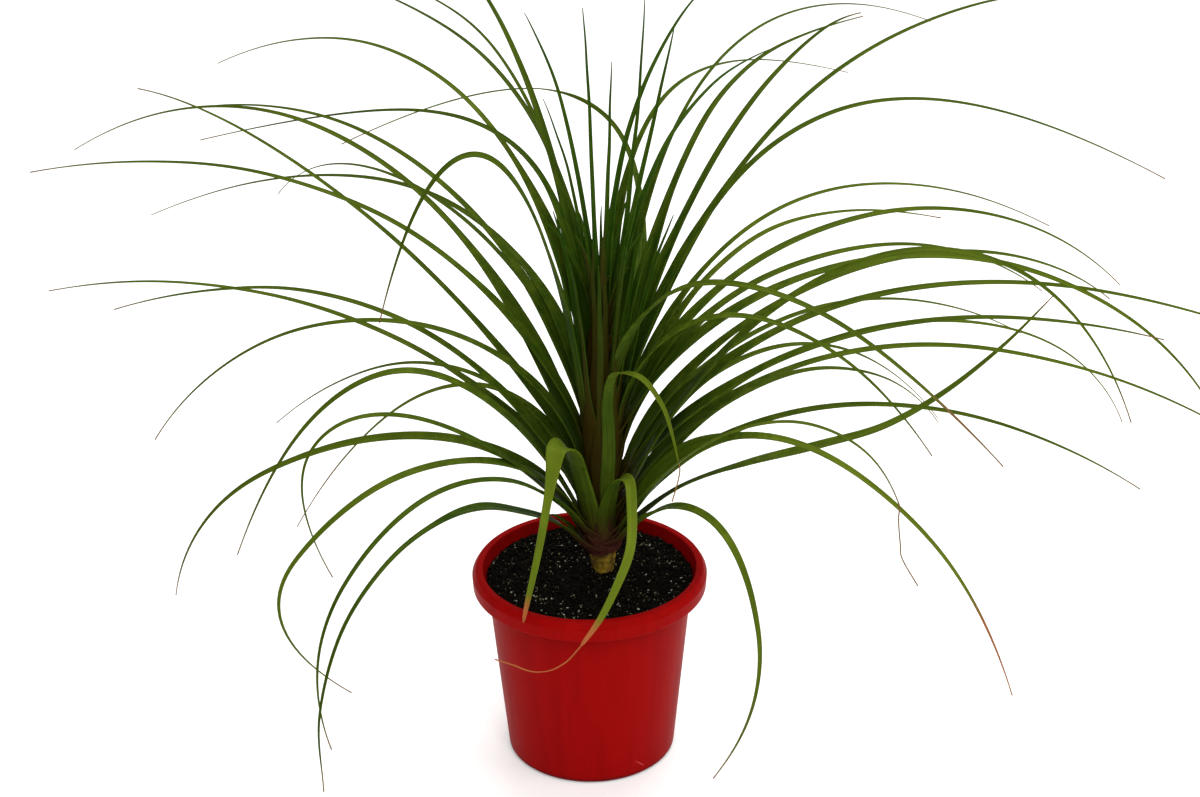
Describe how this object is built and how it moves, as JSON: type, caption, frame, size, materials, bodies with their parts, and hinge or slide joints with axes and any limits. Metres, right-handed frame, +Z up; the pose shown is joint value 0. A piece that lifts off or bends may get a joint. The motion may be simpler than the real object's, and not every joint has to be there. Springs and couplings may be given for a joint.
{
  "type": "potted ponytail palm",
  "caption": "House plant in a round plastic pot: a short stem in potting mix that carries a fountain of long, narrow, arching strap leaves.",
  "frame": {"origin": "middle of the pot's underside, on the surface that it stands on", "axes": "+Z up along the pot's axis; -Y is the front, towards the picture's camera; +X to its right"},
  "size_m": [0.7726, 0.6297, 0.466],
  "materials": {
    "pot": "satin moulded red plastic with faint upright flow marks",
    "potting_mix": null,
    "stem": "purple-brown leaf sheaths over a straw-coloured foot",
    "crown_leaves": null,
    "leaves": "smooth satin green strap leaf with fine lengthwise veins and dry brown tips"
  },
  "bodies": {
    "root": {"pot": "pot", "potting_mix": "potting_mix", "trunk": "stem", "crown": "crown_leaves", "leaf_left_01": "leaves", "leaf_left_02": "leaves", "leaf_left_03": "leaves", "leaf_left_04": "leaves", "leaf_left_05": "leaves", "leaf_left_06": "leaves", "leaf_left_07": "leaves", "leaf_left_08": "leaves", "leaf_left_09": "leaves", "leaf_left_10": "leaves", "leaf_left_11": "leaves", "leaf_left_12": "leaves", "leaf_left_13": "leaves", "leaf_left_14": "leaves", "leaf_left_15": "leaves", "leaf_left_16": "leaves", "leaf_left_17": "leaves", "leaf_left_18": "leaves", "leaf_left_19": "leaves", "leaf_left_20": "leaves", "leaf_left_21": "leaves", "leaf_left_22": "leaves", "leaf_left_23": "leaves", "leaf_left_24": "leaves", "leaf_left_25": "leaves", "leaf_right_01": "leaves", "leaf_right_02": "leaves", "leaf_right_03": "leaves", "leaf_right_04": "leaves", "leaf_right_05": "leaves", "leaf_right_06": "leaves", "leaf_right_07": "leaves", "leaf_right_08": "leaves", "leaf_right_09": "leaves", "leaf_right_10": "leaves", "leaf_right_11": "leaves", "leaf_right_12": "leaves", "leaf_right_13": "leaves", "leaf_right_14": "leaves", "leaf_right_15": "leaves", "leaf_right_16": "leaves", "leaf_right_17": "leaves", "leaf_right_18": "leaves", "leaf_right_19": "leaves", "leaf_right_20": "leaves", "leaf_right_21": "leaves", "leaf_right_22": "leaves", "leaf_right_23": "leaves", "leaf_right_24": "leaves", "leaf_right_25": "leaves", "leaf_right_26": "leaves", "leaf_front_01": "leaves", "leaf_front_02": "leaves", "leaf_front_03": "leaves", "leaf_front_04": "leaves", "leaf_back_01": "leaves"}
  },
  "joints": []
}
